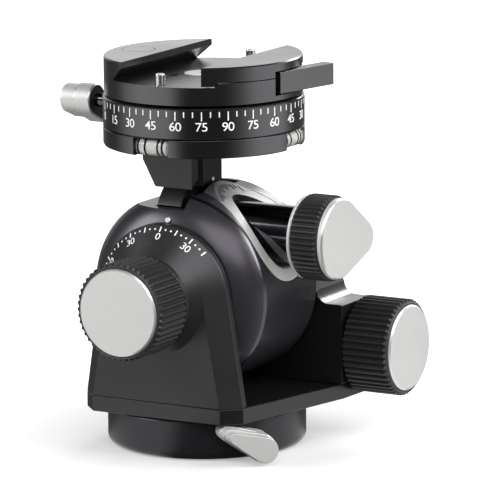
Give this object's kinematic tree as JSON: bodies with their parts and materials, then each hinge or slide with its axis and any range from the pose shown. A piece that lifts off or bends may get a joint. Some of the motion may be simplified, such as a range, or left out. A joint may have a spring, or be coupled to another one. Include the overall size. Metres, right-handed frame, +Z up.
{
  "type": "geared tripod head",
  "caption": "Geared tripod head: two worm-geared tilts, a base pan and a levelling turntable that carries a dovetail clamp with a flip lever.",
  "frame": {"origin": "centre of the bounding box's bottom face; the pan axis is at x = -3.4 mm, y = 2.95 mm", "axes": "+Z up along the pan axis, -Y towards the pitch drive knob, +X towards the roll drive knob and the pitch lock knob"},
  "size_m": [0.1054, 0.0996, 0.121],
  "materials": {
    "black_anodised": "satin black anodised",
    "black_satin": "satin black anodised",
    "silver_blasted": "bead blasted silver",
    "silver_brushed": "brushed silver",
    "black_rubber": "matte black, knurled",
    "steel": "machined",
    "brass": "machined",
    "bronze": "machined",
    "clear_acrylic": "clear, polished"
  },
  "bodies": {
    "root": {"base_disc": "black_anodised", "thread_insert": "brass", "pan_retainer_ring": "steel"},
    "base_lever": {"base_lock_lever": "silver_blasted", "base_lock_screw": "steel"},
    "yoke": {"pan_spindle": "steel", "pan_nut": "steel", "base_plate": "black_anodised", "front_upright": "black_anodised", "front_bush": "bronze", "rear_housing": "black_satin", "rear_bush": "bronze", "rear_cover": "black_satin", "plate_screw_front_left": "steel", "plate_screw_front_right": "steel", "plate_screw_rear_left": "steel", "plate_screw_rear_right": "steel", "roll_worm_bush": "bronze"},
    "roll_knob": {"roll_knob_grip": "black_rubber", "roll_knob_cap": "silver_blasted", "roll_worm_shaft": "steel"},
    "drum": {"drum_shell": "black_anodised", "saddle": "silver_brushed", "lock_tube": "black_anodised", "front_trunnion": "steel", "rear_trunnion": "steel", "pitch_worm_bush": "bronze", "roll_worm_wheel": "bronze"},
    "pitch_knob": {"pitch_knob_grip": "black_rubber", "pitch_knob_cap": "silver_blasted", "pitch_worm_shaft": "steel"},
    "pitch_lock": {"pitch_lock_flange": "silver_blasted", "pitch_lock_grip": "black_rubber", "pitch_lock_cap": "silver_blasted", "pitch_lock_rod": "steel"},
    "roll_lock": {"roll_lock_grip": "black_rubber", "roll_lock_cap": "silver_blasted", "roll_lock_rod": "steel"},
    "tilt": {"neck": "black_anodised", "neck_front_plate": "black_anodised", "pitch_worm_wheel": "bronze", "pitch_axle": "steel", "friction_washer": "bronze", "level_ring": "black_anodised", "level_vial_front": "clear_acrylic", "level_vial_side": "clear_acrylic", "graduated_ring": "black_anodised", "turntable_retainer": "steel"},
    "pan_lock": {"pan_lock_knob": "black_rubber", "pan_lock_shaft": "steel"},
    "turntable": {"turntable_spindle": "steel", "clamp_body": "black_anodised", "centre_screw": "silver_blasted", "lever_pin": "steel", "pin_front_spring": "steel", "pin_rear_spring": "steel"},
    "jaw": {"moving_jaw": "black_anodised"},
    "flip_lever": {"flip_lever": "black_satin"},
    "pin_front": {"pin_front": "silver_blasted"},
    "pin_rear": {"pin_rear": "silver_blasted"}
  },
  "joints": [
    {"name": "base_lock_turn", "type": "hinge", "parent": "root", "child": "base_lever", "pos_m": [0.01979, -0.01741, 0.0059], "axis": [0.7071, -0.7071, 0], "range_deg": [0, 35]},
    {"name": "pan", "type": "hinge", "parent": "root", "child": "yoke", "pos_m": [-0.0034, 0.00295, 0.0124], "axis": [0, 0, 1], "continuous": true},
    {"name": "roll", "type": "hinge", "parent": "yoke", "child": "drum", "pos_m": [-0.0034, 0.00295, 0.0493], "axis": [0, 1, 0], "range_deg": [-90, 15]},
    {"name": "roll_drive", "type": "hinge", "parent": "yoke", "child": "roll_knob", "pos_m": [0.0416, 0.03195, 0.0289], "axis": [1, 0, 0], "range_deg": [-3240, 540]},
    {"name": "roll_lock_turn", "type": "hinge", "parent": "yoke", "child": "roll_lock", "pos_m": [-0.0034, 0.04295, 0.0493], "axis": [0, 1, 0], "range_deg": [-60, 60]},
    {"name": "pitch", "type": "hinge", "parent": "drum", "child": "tilt", "pos_m": [-0.0034, 0.00295, 0.0671], "axis": [1, 0, 0], "range_deg": [-20, 20]},
    {"name": "pitch_drive", "type": "hinge", "parent": "drum", "child": "pitch_knob", "pos_m": [-0.0034, -0.04205, 0.0493], "axis": [0, 1, 0], "range_deg": [-600, 600]},
    {"name": "pitch_lock_turn", "type": "hinge", "parent": "drum", "child": "pitch_lock", "pos_m": [0.0366, 0.00295, 0.0671], "axis": [1, 0, 0], "range_deg": [-60, 60]},
    {"name": "pan_lock_turn", "type": "hinge", "parent": "tilt", "child": "pan_lock", "pos_m": [-0.0434, 0.00295, 0.1038], "axis": [1, 0, 0], "range_deg": [-60, 60]},
    {"name": "turntable_pan", "type": "hinge", "parent": "tilt", "child": "turntable", "pos_m": [-0.0034, 0.00295, 0.1091], "axis": [0, 0, 1], "continuous": true},
    {"name": "jaw_slide", "type": "slide", "parent": "turntable", "child": "jaw", "axis": [1, 0, 0], "range_m": [0, 0.003]},
    {"name": "lever_flip", "type": "hinge", "parent": "turntable", "child": "flip_lever", "pos_m": [0.023, 0.00245, 0.114], "axis": [0, 0, -1], "range_deg": [0, 60]},
    {"name": "pin_front_slide", "type": "slide", "parent": "turntable", "child": "pin_front", "axis": [0, 0, -1], "range_m": [0, 0.0024], "stiffness_N_per_m": 150, "springref_m": -0.002},
    {"name": "pin_rear_slide", "type": "slide", "parent": "turntable", "child": "pin_rear", "axis": [0, 0, -1], "range_m": [0, 0.0024], "stiffness_N_per_m": 150, "springref_m": -0.002}
  ],
  "couplings": [
    {"joint": "roll_drive", "follows": "roll", "ratio": 36},
    {"joint": "pitch_drive", "follows": "pitch", "ratio": 30},
    {"joint": "jaw_slide", "follows": "lever_flip", "m_per_rad": 0.002864}
  ]
}
